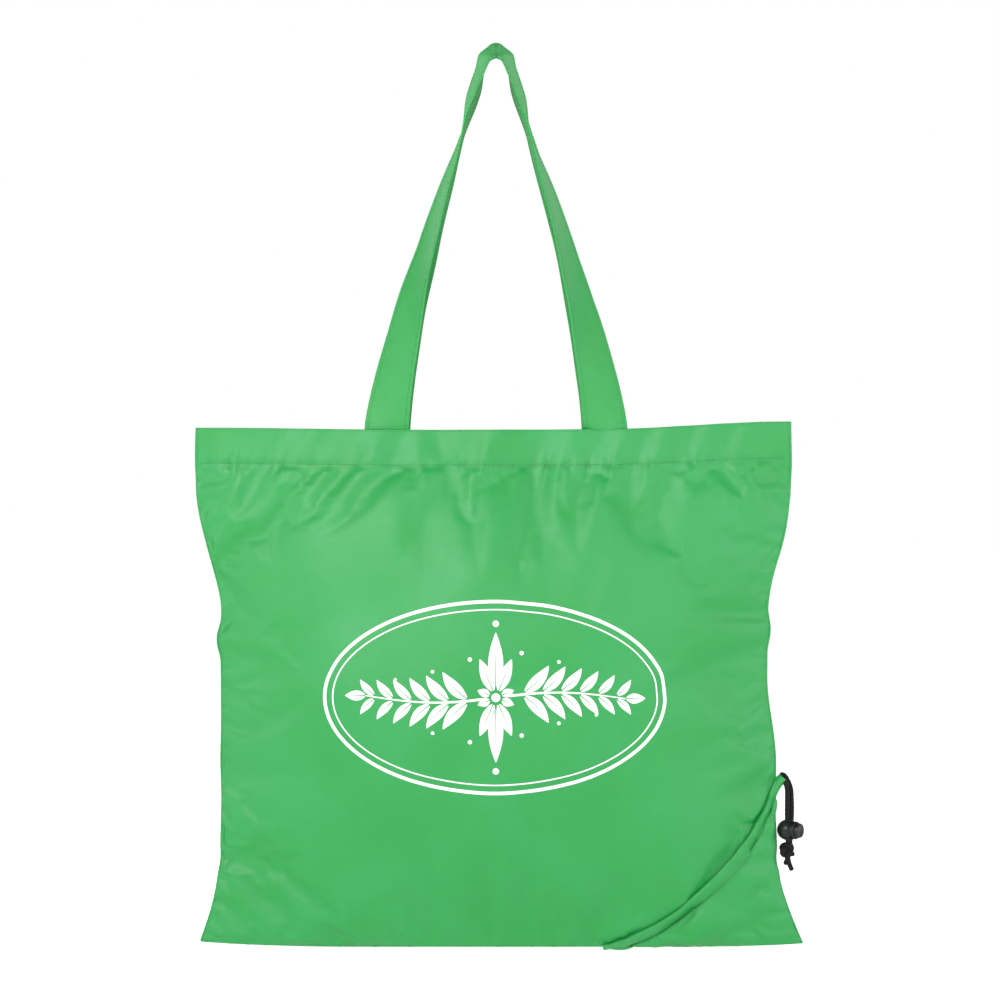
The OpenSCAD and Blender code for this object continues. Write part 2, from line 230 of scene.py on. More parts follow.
def bag_point(u, z, side):
    """A point of the bag's skin: u from -1 to 1 across, z up, side -1 for the front and +1 for the rear."""
    x = u * edge_x(u, z)
    shift = 0.37 * side
    depth = puff_at(z) * section(u)
    free = section(u) ** 0.7 * smooth(0, 60 * MM, z)
    depth = depth + free * 1.3 * MM * FOLDS(x + shift, z * 0.8)
    hang = smooth(210 * MM, 345 * MM, z) * section(u) ** 0.5
    depth = depth + 0.75 * MM * hang * DRAPE(x + 0.35 * (HEIGHT - z) * np.sign(u + 0.05) + shift)
    lean = bump(-0.72, 0.30, u - 0.2 * (z / HEIGHT - 0.5)) * bump(70 * MM, 75 * MM, z)
    depth = depth - 3.0 * MM * lean
    if side < 0:
        from_x, from_z = x - CREASE_AT[0], z - CREASE_AT[1]
        crease = bell(0.6 * from_x + 0.8 * from_z, 2.8 * MM) * bump(0, 11 * MM, 0.8 * from_x - 0.6 * from_z)
        depth = depth - 1.1 * MM * crease
    slanted = HEM_FOLDS(x - 0.55 * (HEIGHT - z) * side + shift)
    depth = depth + 0.75 * MM * slanted * section(u) ** 0.4 * smooth(285 * MM, 335 * MM, z)
    y = side * (0.35 * MM + np.maximum(depth, 0))
    return np.stack([x, y, z + rise_at(u, z)], -1)


# ---- mesh helpers
def new_mesh(name, points, faces, uvs=None, smooth_shade=True):
    mesh = bpy.data.meshes.new(name)
    mesh.from_pydata([tuple(p) for p in points], [], [tuple(f) for f in faces])
    if uvs is not None:
        layer = mesh.uv_layers.new(name="UVMap")
        loops = np.empty(len(mesh.loops), np.int32)
        mesh.loops.foreach_get("vertex_index", loops)
        layer.data.foreach_set("uv", np.asarray(uvs, np.float32)[loops].ravel())
    mesh.polygons.foreach_set("use_smooth", [smooth_shade] * len(mesh.polygons))
    mesh.update()
    obj = bpy.data.objects.new(name, mesh)
    bpy.context.scene.collection.objects.link(obj)
    return obj


def grid_faces(rows, cols, base=0, flip=False, wrap=False):
    """Quads of a rows x cols grid of points; wrap joins the last column to the first."""
    i = np.arange(rows - 1)[:, None]
    j = np.arange(cols if wrap else cols - 1)[None, :]
    n = (j + 1) % cols
    quad = np.stack([i * cols + j, i * cols + n, (i + 1) * cols + n, (i + 1) * cols + j], -1).reshape(-1, 4) + base
    return quad[:, ::-1] if flip else quad


def rim_faces(rows, cols, flip):
    """Quads that close the border between two equal grids, numbered one after the other."""
    index = np.arange(rows * cols).reshape(rows, cols)
    ring = np.concatenate([index[0], index[1:, -1], index[-1, -2::-1], index[-2:0:-1, 0]])
    after = np.roll(ring, -1)
    quad = np.stack([ring, ring + rows * cols, after + rows * cols, after], -1)
    return quad[:, ::-1] if flip else quad


def plate(outer, inner, flip):
    """(points, faces) of a closed sheet between two equal grids of points."""
    rows, cols = outer.shape[:2]
    sheets = [grid_faces(rows, cols, 0, flip), grid_faces(rows, cols, rows * cols, not flip)]
    faces = np.concatenate([*sheets, rim_faces(rows, cols, flip)])
    return np.concatenate([outer.reshape(-1, 3), inner.reshape(-1, 3)]), faces


def loop_grid(rows, cols):
    """Faces of a rows x cols grid whose last column joins its first."""
    return [tuple(f) for f in grid_faces(rows, cols, 0, False, True)]


def tube(rings, turned=False):
    """(points, faces) of a closed bar through rings of points, with a cap at each end."""
    rings = np.asarray(rings)
    rows, cols = rings.shape[:2]
    faces = loop_grid(rows, cols)
    faces.append(tuple(range(cols - 1, -1, -1)))
    faces.append(tuple((rows - 1) * cols + k for k in range(cols)))
    return rings.reshape(-1, 3), [f[::-1] for f in faces] if turned else faces


def hollow_ring(rings):
    """(points, faces) of rings of points joined on into the first one again."""
    rings = np.asarray(rings)
    rows, cols = rings.shape[:2]
    last = (rows - 1) * cols
    faces = loop_grid(rows, cols)
    faces += [(k, last + k, last + (k + 1) % cols, (k + 1) % cols) for k in range(cols)]
    return rings.reshape(-1, 3), faces


def frames_along(path, up):
    """Tangent and two square directions at each point of a path."""
    path = np.asarray(path, float)
    t = unit(np.gradient(path, axis=0))
    a = unit(np.cross(np.broadcast_to(np.asarray(up, float), t.shape), t))
    return t, a, np.cross(t, a)


def round_bar(path, radius, sides=10):
    """A round bar along a path with a radius for each point, its ends rounded off."""
    t, a, b = frames_along(path, (0, 1, 0))
    caps = ((0.55, 0.83), (0.9, 0.42))
    head = [(path[0] - t[0] * radius[0] * s * 0.7, radius[0] * r) for s, r in reversed(caps)]
    tail = [(path[-1] + t[-1] * radius[-1] * s * 0.7, radius[-1] * r) for s, r in caps]
    path = np.concatenate([[p for p, _ in head], path, [p for p, _ in tail]])
    radius = np.concatenate([[r for _, r in head], radius, [r for _, r in tail]])
    a, b = (np.concatenate([[d[0]] * 2, d, [d[-1]] * 2]) for d in (a, b))
    return tube(path[:, None] + hoops(a, b, round_angles(sides)) * radius[:, None, None])


def curve_through(points, count):
    """A smooth curve through a few points."""
    p = np.asarray(points, float)
    p = np.concatenate([2 * p[:1] - p[1:2], p, 2 * p[-1:] - p[-2:-1]])
    out = []
    for i in range(1, len(p) - 2):
        t = np.linspace(0, 1, count, endpoint=i == len(p) - 3)[:, None]
        a, b, c, d = p[i - 1 : i + 3]
        out.append(
            0.5 * (2 * b + (c - a) * t + (2 * a - 5 * b + 4 * c - d) * t**2 + (3 * b - a - 3 * c + d) * t**3)
        )
    return np.concatenate(out)


def merge(parts):
    """One (points, faces) from many."""
    points, faces, base = [], [], 0
    for p, f in parts:
        points.append(np.asarray(p))
        faces += [tuple(int(i) + base for i in face) for face in f]
        base += len(p)
    return np.concatenate(points), faces


# ---- cloth pass on the filled bag
COLS, ROWS = ((131, 109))
CLOTH_FRAMES = 24
FARTHEST = 7 * MM


def column_u(n):
    s = np.linspace(-1, 1, n)
    return 1.3 * s - 0.3 * s**3


def rest_grid(side):
    u, z = np.meshgrid(column_u(COLS), np.linspace(0, HEIGHT, ROWS))
    return bag_point(u, z, side)


def simulate(front, rear):
    """Lets slightly too much cloth, sewn at the sides, bottom and hem, settle over the filled shape."""
    points = np.concatenate([front.reshape(-1, 3), rear.reshape(-1, 3)])
    count = ROWS * COLS
    faces = np.concatenate([grid_faces(ROWS, COLS, 0), grid_faces(ROWS, COLS, count, True)])
    obj = new_mesh("cloth_pass", points, faces)
    pins = obj.vertex_groups.new(name="pins")
    row, col = np.divmod(np.arange(count), COLS)
    hem_row = int(round((ROWS - 1) * HEM_LINE / HEIGHT))
    held = (col < 1) | (col > COLS - 2) | (row < 1) | (row >= hem_row)
    index = np.nonzero(held)[0]
    pins.add([int(i) for i in np.concatenate([index, index + count])], 1.0, "REPLACE")
    cloth = obj.modifiers.new("cloth", "CLOTH")
    st = cloth.settings
    st.quality = 6
    st.mass = 0.25
    st.tension_stiffness = st.compression_stiffness = 18
    st.shear_stiffness = 6
    st.bending_stiffness = 0.6
    st.tension_damping = st.compression_damping = 8
    st.air_damping = 2
    st.shrink_min = -0.022
    st.vertex_group_mass = "pins"
    st.use_pressure = True
    st.uniform_pressure_force = 1.2
    st.effector_weights.gravity = 0
    cloth.collision_settings.use_collision = False
    cloth.collision_settings.use_self_collision = False
    cloth.point_cache.frame_start = 1
    cloth.point_cache.frame_end = CLOTH_FRAMES
    scene = bpy.context.scene
    for f in range(1, CLOTH_FRAMES + 1):
        scene.frame_set(f)
    settled = obj.evaluated_get(bpy.context.evaluated_depsgraph_get())
    co = np.empty(len(points) * 3, np.float32)
    settled.to_mesh().vertices.foreach_get("co", co)
    settled.to_mesh_clear()
    bpy.data.objects.remove(obj)
    scene.frame_set(1)
    moved = co.reshape(-1, 3).astype(float) - points
    length = np.linalg.norm(moved, axis=1, keepdims=True)
    moved = moved * (FARTHEST * np.tanh(length / FARTHEST) / np.maximum(length, 1e-9))
    out = points + moved
    return out[:count].reshape(ROWS, COLS, 3), out[count:].reshape(ROWS, COLS, 3)


def refine(grid):
    """Twice as many points each way, on a smooth curve through the ones there are."""
    for axis in (0, 1):
        g = np.moveaxis(grid, axis, 0)
        ends = np.concatenate([2 * g[:1] - g[1:2], g, 2 * g[-1:] - g[-2:-1]])
        middle = (9 * (ends[1:-2] + ends[2:-1]) - (ends[:-3] + ends[3:])) / 16
        out = np.empty((2 * len(g) - 1,) + g.shape[1:])
        out[0::2] = g
        out[1::2] = middle
        grid = np.moveaxis(out, 0, axis)
    return grid


class Skin:
    """One side of the bag as a fine grid that other pieces are laid on."""

    def __init__(self, coarse, side):
        self.side = side
        self.grid = refine(coarse)
        self.rows, self.cols = self.grid.shape[:2]
        self.u = np.interp(np.linspace(0, COLS - 1, self.cols), np.arange(COLS), column_u(COLS))
        self.z = np.linspace(0, HEIGHT, self.rows)
        self.find_normals()
        self.pucker()
        self.find_normals()

    def find_normals(self):
        du = np.gradient(self.grid, axis=1)
        dz = np.gradient(self.grid, axis=0)
        n = unit(np.cross(du, dz))
        self.normal = n if self.side < 0 else -n

    def pucker(self):
        """The stitching draws the cloth in: small gathers below and above the hem line. Also keeps painted shade for
        the dips along the stitch line.
        """
        u, z = np.meshgrid(self.u, self.z)
        x = u * edge_x(u, z) + 0.31 * self.side
        off = (z - STITCH_LINE) / MM
        below = np.where(off < 0, np.exp(off / 9.0), np.exp(-off / 6.0))
        slant = x + 0.25 * (z - STITCH_LINE) * np.sin(31 * x)
        gather = GATHER(slant) * (0.55 + 0.45 * np.sin(23 * x + 1.3))
        fade = smooth(0, 0.05, 1 - np.abs(u))
        lift = 0.55 * MM * gather * below * fade
        lift -= 0.55 * MM * np.exp(-((off / 1.5) ** 2)) * fade
        self.grid = self.grid + self.normal * lift[..., None]
        # Painted shade: darker cloth in the gathers' dips along the stitch line.
        self.painted_stitch_shade = np.exp(-((off / 3.0) ** 2)) * fade * np.clip(0.12 - 0.3 * gather, 0, 0.5)

    def at(self, u, z, out=0.0):
        """Points on the skin at u and z, lifted off it by out."""
        fi = np.interp(z, self.z, np.arange(self.rows))
        fj = np.interp(u, self.u, np.arange(self.cols))
        i = np.clip(fi.astype(int), 0, self.rows - 2)
        j = np.clip(fj.astype(int), 0, self.cols - 2)
        a, b = (fi - i)[..., None], (fj - j)[..., None]

        def mix(field):
            low, high = (field[i + k, j] * (1 - b) + field[i + k, j + 1] * b for k in (0, 1))
            return low * (1 - a) + high * a

        return mix(self.grid) + unit(mix(self.normal)) * np.asarray(out)[..., None]

    def at_xz(self, x, z, out=0.0):
        x, z = np.asarray(x, float), np.asarray(z, float)
        u = x / np.where(x >= 0, right_edge(z), left_edge(z))
        return self.at(np.clip(u, -1, 1), np.clip(z, 0, HEIGHT), out)


front_rest, rear_rest = rest_grid(-1), rest_grid(1)
front_rest, rear_rest = simulate(front_rest, rear_rest)
SKINS = {"front": Skin(front_rest, -1), "rear": Skin(rear_rest, 1)}


# ---- pieces of cloth that follow the skin
FOLD = ("bag_upper", "bag_lower", (0, 0, FOLD_Z + FOLD_SPAN), (0, 0, FOLD_Z - FOLD_SPAN))


def cloth_uv(points):
    """Thread coordinates in metres: across and up."""
    return np.stack([points[:, 0], points[:, 2]], -1)


def piece(name, mesh, nodes, moves_with, uvs=None, smooth_shade=True):
    """A visible piece that stands for CAD nodes and moves with one body; given two bodies, it is only baked in place
    and follows neither.
    """
    points, faces = mesh
    obj = new_mesh(name, points, faces, cloth_uv(points) if uvs is None else uvs, smooth_shade)
    if nodes:
        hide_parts(*nodes)
    if isinstance(moves_with, str):
        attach(obj, moves_with)
    else:
        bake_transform(obj)
    return obj


def mark(obj, kind, amounts):
    """Marks each point for the cloth material: the fold shade mark darkens the cloth there as painted shade, the glow
    mark makes it give off light as painted light.
    """
    layer = obj.data.attributes.new(kind, "FLOAT", "POINT")
    layer.data.foreach_set("value", np.asarray(amounts, np.float32))


def make_panel(name, skin):
    sheet = plate(skin.grid, skin.grid - skin.normal * FABRIC, skin.side > 0)
    obj = piece(f"{name}_panel", sheet, (f"{name}_panel_upper", f"{name}_panel_lower"), FOLD)
    # Painted shade along the stitch line's dips.
    mark(obj, "fold_depth", np.tile(skin.painted_stitch_shade.ravel(), 2))


# How far below the mouth's edge and how far off the skin, in mm: over the edge, down inside, and back up.
HEM_PROFILE = (
    (1.3, 0.03), (0.8, 0.10), (0.3, 0.12), (0.0, 0.02), (-0.25, -0.25), (-0.25, -0.70), (0.1, -1.0),
    (1.0, -1.15), (5.0, -1.2), (11.0, -1.25), (17.0, -1.25), (22.5, -1.2), (24.4, -1.05), (26.0, -1.2),
    (27.4, -1.1), (27.6, -0.85), (27.3, -0.62), (24.4, -0.55), (17.0, -0.5), (8.0, -0.48), (1.6, -0.46),
)


def make_hem(name, skin):
    """The hem: rolled over the mouth's edge and turned down inside, behind the panel."""
    u = skin.u[1:-1]
    rows = []
    for drop, lift in HEM_PROFILE:
        point = skin.at(u, HEIGHT - max(drop, 0) * MM, lift * MM)
        rows.append(point + [0, 0, max(-drop, 0) * MM])
    piece(f"{name}_hem_cloth", tube(np.stack(rows, 1), name == "rear"), (f"{name}_hem",), "bag_upper")


def stitches(path, normal, length, gap, radius):
    """A row of separate stitches along a fine path; each one arches out of the cloth and back in."""
    run = run_along(path)
    pitch = length + gap
    s = np.linspace(0, 1, 6)
    arch = 1.15 * np.sin(np.pi * s) ** 0.7 - 0.15
    parts = []
    for k in range(int(run[-1] // pitch)):
        where = k * pitch + gap / 2 + s * length
        n = unit(sampled(normal, run, where))
        p = sampled(path, run, where) + n * (arch * radius * 1.1)[:, None]
        parts.append(stitch_bar(p, n, radius))
    return parts


def stitch_bar(path, normal, radius):
    side = unit(np.cross(unit(np.gradient(path, axis=0)), normal))
    girth = np.array([0.45, 0.9, 1, 1, 0.9, 0.45]) * radius
    return tube(path[:, None] + hoops(side, normal, round_angles(6), 0.8) * girth[:, None, None])


def surface_normals(path, nearby, toward):
    """Normals of a surface through two neighbouring paths, on the side a direction points to."""
    n = unit(np.cross(np.gradient(path, axis=0), nearby - path))
    sign = np.sign((n * np.asarray(toward)).sum(-1, keepdims=True))
    return n * np.where(sign == 0, 1, sign)


def make_hem_thread(name, skin):
    u = np.linspace(-0.985, 0.985, 900)
    path, near = (skin.at(u, z, 0.06 * MM) for z in (STITCH_LINE, STITCH_LINE + MM))
    normal = surface_normals(path, near, (0, skin.side, 0))
    sewn = merge(stitches(path, normal, 2.5 * MM, 0.6 * MM, 0.19 * MM))
    piece(f"{name}_hem_stitches", sewn, (f"{name}_hem_stitching",), "bag_upper")


def between_skins(u, z):
    """Points midway between the two skins."""
    return 0.5 * (SKINS["front"].at(u, z) + SKINS["rear"].at(u, z))


def make_side_seam(side, name):
    """The turned seam down one edge: a narrow rolled lip, thicker where it takes in the hem."""
    path = between_skins(side, np.linspace(1.0 * MM, HEIGHT - 0.3 * MM, 240))
    z = path[:, 2]
    path[:, 0] += side * 0.22 * MM * EDGE_GATHER(z + side * 0.2)
    radius = (0.70 + 0.03 * np.sin(z * 900)) * MM + 0.25 * MM * smooth(HEM_LINE - 6 * MM, HEM_LINE + 4 * MM, z)
    piece(f"side_seam_{name}", round_bar(path, radius), ("side_seams_upper", "side_seams_lower"), FOLD)


def make_bottom_seam():
    path = between_skins(column_u(300), 0)
    path[:, 2] += 0.75 * MM + 0.10 * MM * GATHER(path[:, 0])
    radius = (0.72 + 0.07 * np.sin(path[:, 0] * 800)) * MM
    piece("bottom_seam_edge", round_bar(path, radius), ("bottom_seam",), "bag_lower")


for side_name, skin in SKINS.items():
    make_panel(side_name, skin)
    make_hem(side_name, skin)
    make_hem_thread(side_name, skin)
make_side_seam(-1, "left")
make_side_seam(1, "right")
make_bottom_seam()


# ---- handles
HANDLE_BASE = HEIGHT + 1.2 * MM
KINK = 571 * MM
SHOULDER = (7.5 * MM, 621.5 * MM)
PEAK_Z = 626.2 * MM
LOW_STEPS, HIGH_STEPS, ROOF_STEPS, TAIL = 96, 44, 26, 16
STRAP_PLANE = 10.9 * MM


def strap_line(side):
    """Half of a handle's middle line, from inside the hem to the peak, and its turn there in degrees."""
    low_z = np.linspace(HANDLE_BASE, KINK, LOW_STEPS)
    rise = (low_z - HEIGHT) / (KINK - HEIGHT)
    low_x = -STRAP_X * (1 - 0.698 * np.clip(rise, 0, 1) ** 1.32)
    high_z = np.linspace(KINK, SHOULDER[1], HIGH_STEPS + 1)[1:]
    f = (high_z - KINK) / (SHOULDER[1] - KINK)
    bow_out = (1.3 if side < 0 else -0.3) * MM * np.sin(np.pi * f) ** 0.8
    high_x = low_x[-1] * (1 - f) - SHOULDER[0] * f - bow_out
    roof = np.linspace(0, 1, ROOF_STEPS + 1)[1:]
    roof_x = -SHOULDER[0] * (1 - roof)
    roof_z = SHOULDER[1] + (PEAK_Z - SHOULDER[1]) * roof
    tail_z = np.linspace(HEM_LINE + MM, HANDLE_BASE, TAIL, endpoint=False)
    x = np.concatenate([np.full(TAIL, low_x[0]), low_x, high_x, roof_x])
    z = np.concatenate([tail_z, low_z, high_z, roof_z])
    twist = np.clip((z - HANDLE_BASE) / (KINK - HANDLE_BASE), 0, 1) ** 0.62
    turn = 87 * twist - (10 if side < 0 else 4.5) * smooth(KINK, KINK + 26 * MM, z)
    turn = turn + (-9 * smooth(612 * MM, PEAK_Z, z) if side < 0 else 12 * smooth(600 * MM, PEAK_Z, z))
    half = STRAP_WIDTH / 2 * np.sin(np.radians(turn))
    y = (STRAP_PLANE**4 + (half + 0.4 * MM) ** 4) ** 0.25
    return np.stack([x, side * y, z], -1), turn


def strap_frames(side):
    half, turns = strap_line(side)
    path = np.concatenate([half, half[-2::-1] * np.array([-1, 1, 1])])
    path = relaxed(path, 5)
    turn = np.radians(np.concatenate([turns, turns[-2::-1]]))[:, None]
    t = unit(np.gradient(path, axis=0))
    inward = unit(np.cross(np.broadcast_to([0.0, 1.0, 0.0], t.shape), t))
    across = unit(inward * np.cos(turn) + np.array([0, side, 0]) * np.sin(turn))
    face = unit(np.cross(t, across))
    run = run_along(path)
    return path, across, face, run


STRAP_RIPPLE = Waves(21, 2, 45 * MM, 130 * MM, 10)


def strap_surface(side, w, lift):
    """The strap's surface at fractions w across it (-1 to 1), lifted off its middle plane by lift."""
    path, across, face, run = strap_frames(side)
    from_peak = run[:, None] - run[-1] / 2
    half = np.sign(from_peak)
    s = np.abs(from_peak) + side * 0.4 + 0.1 * half
    w = np.asarray(w, float)[None, :]
    height = path[:, 2][:, None]
    middle_x = path[:, 0][:, None]
    free = smooth(HEIGHT + 4 * MM, HEIGHT + 60 * MM, height) * smooth(PEAK_Z, KINK, height)
    hang = smooth(HEIGHT + 20 * MM, HEIGHT + 120 * MM, height) * smooth(620 * MM, 590 * MM, height)
    bow = 1.3 * MM * (1 - w**2) * hang
    ripple = 0.5 * MM * STRAP_RIPPLE(s, w * STRAP_WIDTH / 2) * free
    peak = bell(middle_x, 1.6 * MM) * smooth(PEAK_Z - 6 * MM, PEAK_Z, height)
    offset = w * STRAP_WIDTH / 2
    points = path[:, None] + across[:, None] * offset[..., None]
    points = points + face[:, None] * (bow + ripple - 0.5 * MM * peak + np.asarray(lift))[..., None]
    points[..., 0] = points[..., 0] * (1 - 0.26 * (w + 1) / 2 * (side < 0) * smooth(596 * MM, 622 * MM, height))
    points[..., 2] += 0.8 * MM * (1 + side) / 2 * smooth(612 * MM, PEAK_Z, height)
    points[..., 0] = half * np.maximum(points[..., 0] * half, 0.12 * np.abs(middle_x))
    return points


STITCH_W = 0.83


def strap_profile():
    """Cross-section of a folded strap: two flat faces, a small round edge, a dip along each stitch line."""
    w = np.linspace(-0.985, 0.985, 33)
    top = (0.52 - 0.18 * bell(np.abs(w) - STITCH_W, 0.035)) * MM
    edge = np.array([(1.0, 0.24), (1.006, 0.0), (1.0, -0.24)])
    ws = np.concatenate([w, edge[:, 0], w[::-1], -edge[:, 0]])
    return ws, np.concatenate([top, edge[:, 1] * MM, -top[::-1], -edge[:, 1] * MM])


def strap_joint(name):
    """The strap's two bodies and two heights: sewn to the bag inside the hem, free of it just over the mouth. The
    strap is only baked in place with them.
    """
    return "bag_upper", f"{name}_handle", (0, 0, HEIGHT - 7 * MM), (0, 0, HEIGHT + 14 * MM)


def make_strap(name, side):
    ws, lifts = strap_profile()
    rings = strap_surface(side, ws, lifts[None, :])
    along = np.broadcast_to(strap_frames(side)[3][:, None], rings.shape[:2])
    uv = np.stack([np.broadcast_to(ws * STRAP_WIDTH / 2, rings.shape[:2]), along], -1).reshape(-1, 2)
    nodes = (f"{name}_handle", f"{name}_handle_ends")
    obj = piece(f"{name}_strap", tube(rings, side > 0), nodes, strap_joint(name), uv)
    x, _, z = rings.reshape(-1, 3).T
    # Painted shade: a dark line down the crease at each handle's peak.
    mark(obj, "fold_depth", 0.75 * bell(x, 1.3 * MM) * smooth(PEAK_Z - 14 * MM, PEAK_Z - 6 * MM, z))
    # Painted glow: the straps give off a faint light of their own, rising towards their upper parts.
    mark(obj, "lit_through", smooth(450 * MM, 590 * MM, z))


def make_strap_thread(name, side):
    parts = []
    face = strap_frames(side)[2]
    index = np.arange(len(face))
    fine = np.linspace(0, len(face) - 1, 1600)
    for w in (-STITCH_W, STITCH_W):
        for sign in (-1, 1):
            lines = strap_surface(side, [w, w * 0.97], np.array([[sign * 0.36 * MM]]))
            path, near = (sampled(lines[:, k], index, fine) for k in (0, 1))
            normal = surface_normals(path, near, sampled(face, index, fine) * sign)
            parts += stitches(path, normal, 2.4 * MM, 0.6 * MM, 0.18 * MM)
    piece(f"{name}_strap_stitching", merge(parts), (f"{name}_handle_stitching",), strap_joint(name))


for strap_name, strap_side in (("front", -1), ("rear", 1)):
    make_strap(strap_name, strap_side)
    make_strap_thread(strap_name, strap_side)


# ---- corner pouch
POUCH_FOLDS = Waves(31, 2, 16 * MM, 60 * MM, 14)
CASING_FOLDS = Waves(32, 2, 9 * MM, 40 * MM, 14)
CASING_SIDES = 34
CASING_LOW = -2.1 * MM
CASING_END = 1.105


def pouch_angle(v):
    """The angle at v, which runs from 0 at the bag's side to 1 at its bottom."""
    return np.radians(POUCH_ANGLES[0] + (POUCH_ANGLES[1] - POUCH_ANGLES[0]) * np.asarray(v, float))


def casing_width(v):
    """Narrower towards the bag's side, and cut off level just below the bottom seam."""
    angle = pouch_angle(v)
    room = (POUCH_CENTER[1] - CASING_LOW) / -np.sin(angle) - POUCH_RADIUS
    full = CASING_WIDTH * (0.62 + 0.38 * smooth(0.0, 0.3, v))
    return np.clip(np.minimum(full, room), 0.4 * MM, None)


def pouch_line(v, share, off=0.0):
    """x and z along the pouch's mouth, at a share of the casing's width below its upper edge and off further."""
    radius, angle = POUCH_RADIUS + share * casing_width(v) + off, pouch_angle(v)
    return POUCH_CENTER[0] + radius * np.cos(angle), POUCH_CENTER[1] + radius * np.sin(angle)


def corner_edge(v):
    """From the pouch's side end down the edge, round the corner and along the bottom."""
    v = np.asarray(v, float)
    _, z0 = pouch_line(0, 1)
    x1, _ = pouch_line(1, 1)
    side, along = np.clip(v * 2, 0, 1), np.clip(v * 2 - 1, 0, 1)
    z = z0 * (1 - side) + 0.6 * MM * side
    x = right_edge(z) - 0.25 * MM
    return np.where(v < 0.5, x, x * (1 - along) + x1 * along), z


def make_pouch(name, skin):
    """The corner's second layer: rounded at its edges, with soft folds that fan out from the casing."""
    v = np.linspace(0.03, 0.985, 110)[:, None]
    w = np.linspace(0, 1, 70)[None, :]
    ax, az = pouch_line(v, 1, -1.2 * MM)
    cx, cz = corner_edge(v)
    x, z = ax * (1 - w) + cx * w, az * (1 - w) + cz * w
    z = np.maximum(z, 0.4 * MM)
    x = np.minimum(x, right_edge(z) - 0.2 * MM)
    body = np.sin(np.pi * np.clip(w, 0, 1)) ** 0.8 * np.sin(np.pi * np.clip(v, 0, 1)) ** 0.5
    fan = np.sin(v * 21 + 0.6 * np.sin(7 * v)) * bump(0.12, 0.42, w)
    lift = 0.9 + 2.6 * body + 0.9 * body * POUCH_FOLDS(x + skin.side * 0.3, z) + 0.55 * body * fan
    valley = 1.5 * bell(w, 0.10) * body**0.3
    lift = np.maximum(lift - valley, 0.5) * MM
    outer, inner = (skin.at_xz(x, z, lift - under) for under in (0, 0.35 * MM))
    sheet = plate(outer, inner, skin.side > 0)
    obj = piece(f"pouch_{name}_cloth", sheet, (f"pouch_{name}",), "bag_lower")
    # Painted shade: darker cloth along the valley at the pouch's mouth, under the casing.
    mark(obj, "fold_depth", np.tile((0.3 * bell(w, 0.07) * bump(0.5, 0.5, v)).ravel(), 2))


def casing_center(skin, v, lift):
    """The casing's middle line: on the panel, then straight on past the bag's side to the cuff."""
    x, z = pouch_line(v, 0.5)
    inside = np.minimum(x, right_edge(z) - 2.5 * MM)
    y = np.abs(skin.at_xz(inside, z, 0.0)[..., 1])
    end = smooth(0.10, -0.02, v)
    stand = lift * (1 - end) + 1.5 * MM * end
    return np.stack([x, skin.side * (y * (1 - end) + stand), z], -1)


def casing_profile(q):
    """Height of the casing over its own width: steep from the mouth's fold, easing out to the sewn edge."""
    return 2.75 * q**0.45 * (1 - q) ** 1.3 / 0.368


def make_casing(name, skin):
    """The puffed channel along the pouch's mouth: a crisp fold on the mouth side, a sewn edge below."""
    v = np.linspace(-0.012, CASING_END, 190)
    path = relaxed(casing_center(skin, v, 1.0 * MM), 3)
    t = unit(np.gradient(path, axis=0))
    (low_x, low_z), (top_x, top_z) = (pouch_line(v, 0.5, off) for off in (MM, -MM))
    slope = np.stack([low_x - top_x, 0 * v, low_z - top_z], -1)
    low_y, top_y = (
        skin.at_xz(np.minimum(x, right_edge(z) - 2 * MM), z)[:, 1] for x, z in ((low_x, low_z), (top_x, top_z))
    )
    slope[:, 1] = (low_y - top_y) * smooth(0.0, 0.12, v)
    across = unit(slope - t * (slope * t).sum(-1, keepdims=True))
    out = np.cross(t, across)
    out = out * np.where((out[:, 1:2] * skin.side) < 0, -1, 1)
    half = casing_width(v) / 2
    swell = np.clip(half / (3.4 * MM), 0.25, 1) * (0.82 + 0.18 * smooth(0.02, 0.15, v))
    turn = round_angles(CASING_SIDES)
    rows = []
    for a in turn:
        c, s = math.cos(a), math.sin(a)
        q = (c + 1) / 2
        base = 0.35 * (1 - q) - 0.65 * q
        crease = 0.35 * CASING_FOLDS(v * 0.17 + skin.side * 0.2, c * 0.004)
        high = base + (casing_profile(q) + crease * abs(s) if s > 0 else -0.8 * abs(s))
        rows.append(path + across * (half * c)[:, None] + out * (high * swell * MM)[:, None])
    mesh = tube(np.stack(rows, 1), name == "front")
    obj = piece(f"casing_{name}", mesh, (f"pouch_casing_{name}",), "bag_lower")
    # Painted shade: a dark line along the mouth-side fold, and a softer dark band along the sewn edge's valley that is
    # strongest mid-length.
    painted_mouth_shade = bell(np.cos(turn) + 1, 0.16)
    painted_sewn_edge_shade = 0.5 * bell(1 - np.cos(turn), 0.9)
    mark(obj, "fold_depth", (painted_mouth_shade[None, :] + painted_sewn_edge_shade[None, :] * bump(0.5, 0.5, v)[:, None]).ravel())


def make_casing_thread():
    parts = []
    v = np.linspace(0.07, 0.94, 700)
    for skin in SKINS.values():
        lines = []
        for off in (-0.9 * MM, -0.1 * MM):
            x, z = pouch_line(v, 1, off)
            lines.append(skin.at_xz(x, np.maximum(z, 0.3 * MM), 0.95 * MM))
        normal = surface_normals(lines[0], lines[1], (0, skin.side, 0))
        parts += stitches(lines[0], normal, 2.3 * MM, 0.6 * MM, 0.16 * MM)
    piece("casing_stitches", merge(parts), ("casing_stitching",), "bag_lower")


